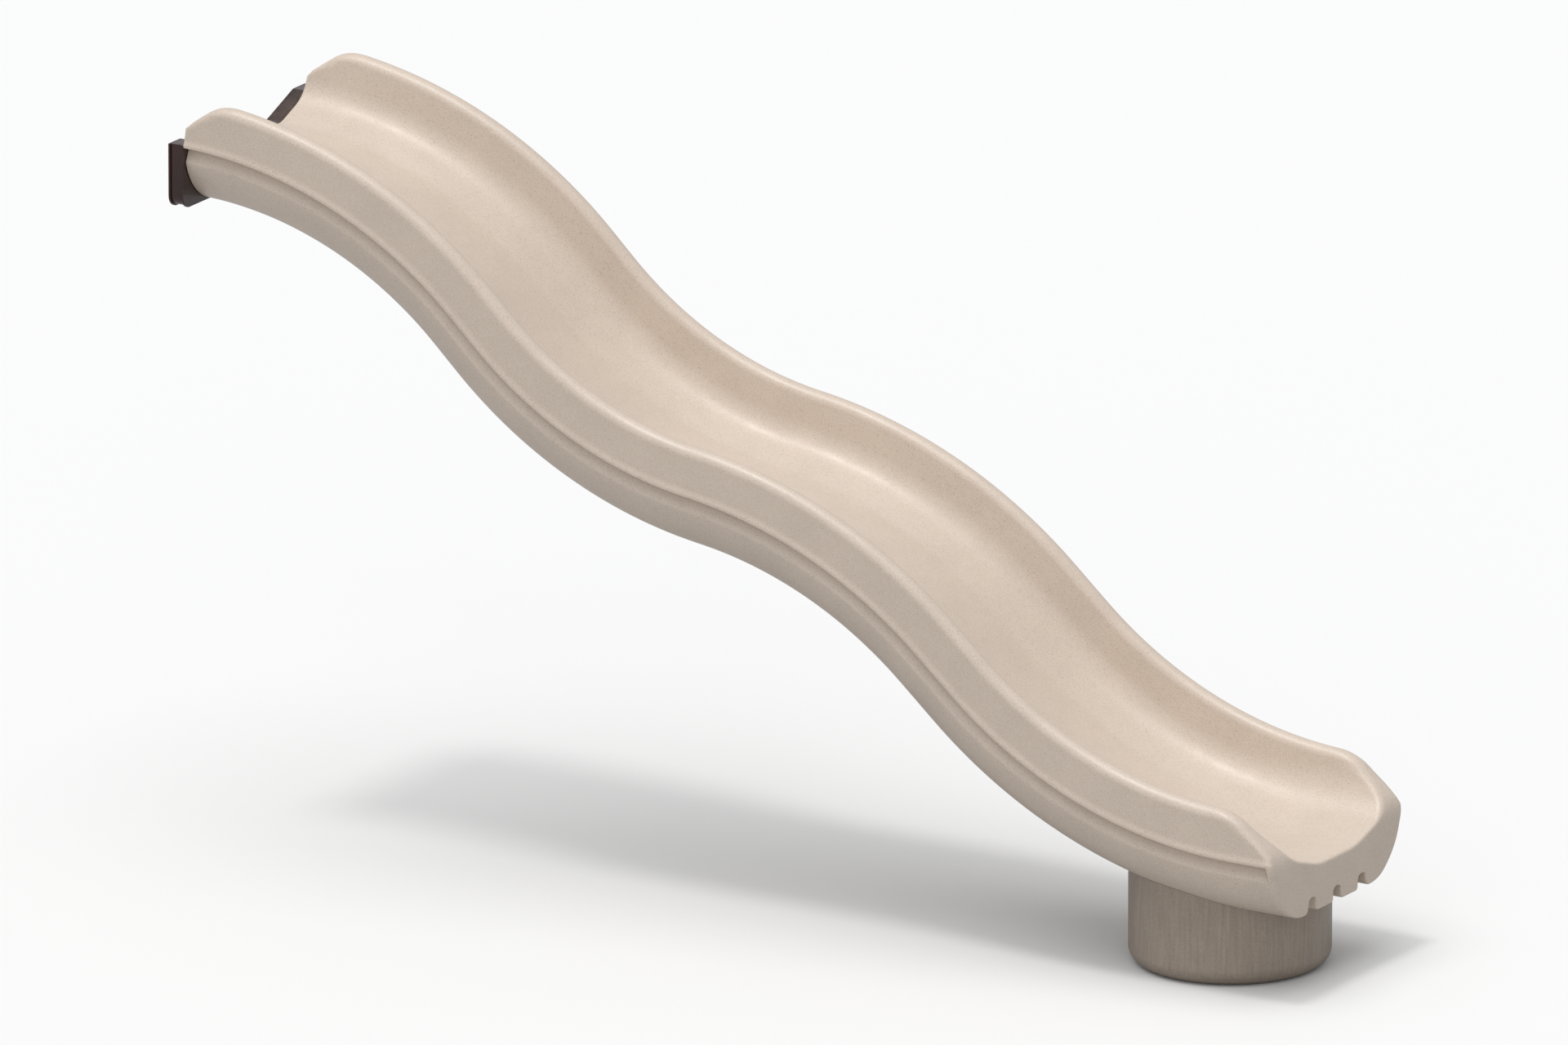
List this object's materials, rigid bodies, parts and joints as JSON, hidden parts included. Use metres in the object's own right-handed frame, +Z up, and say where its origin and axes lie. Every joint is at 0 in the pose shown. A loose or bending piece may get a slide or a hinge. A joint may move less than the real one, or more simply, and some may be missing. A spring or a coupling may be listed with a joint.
{
  "type": "playground wave slide",
  "caption": "Hollow moulded wave slide with raised rims, a steel bracket that bolts its upper end to a deck and a drum foot under its lower end.",
  "frame": {"origin": "on the drum's base plane, under the middle of the slide's length and width", "axes": "+X downhill from the deck to the exit, +Y across the slide, +Z up"},
  "size_m": [2.918, 0.616, 1.7525],
  "materials": {
    "chute_plastic": "tan speckled rotationally moulded polyethylene, satin",
    "drum_plastic": "dark tan speckled rotationally moulded polyethylene, satin",
    "bracket_coat": "dark brown powder coat, gloss",
    "zinc_steel": "zinc plated",
    "galvanised_steel": "hot dip galvanised",
    "brass_insert": "plain",
    "plug_plastic": "moulded"
  },
  "bodies": {
    "root": {"chute": "chute_plastic", "entry_inserts": "brass_insert", "foot_inserts": "brass_insert", "vent_plugs": "plug_plastic", "deck_plate": "bracket_coat", "chute_plate": "bracket_coat", "sill_sheet": "bracket_coat", "cheek_left": "bracket_coat", "cheek_right": "bracket_coat", "rib_left": "bracket_coat", "rib_right": "bracket_coat", "entry_bolts": "zinc_steel", "entry_washers": "zinc_steel", "foot_drum": "drum_plastic", "saddle_strip_left": "galvanised_steel", "saddle_strip_right": "galvanised_steel", "foot_bolts": "zinc_steel", "foot_washers": "zinc_steel", "anchor_ring": "galvanised_steel", "ring_screws": "zinc_steel"}
  },
  "joints": []
}
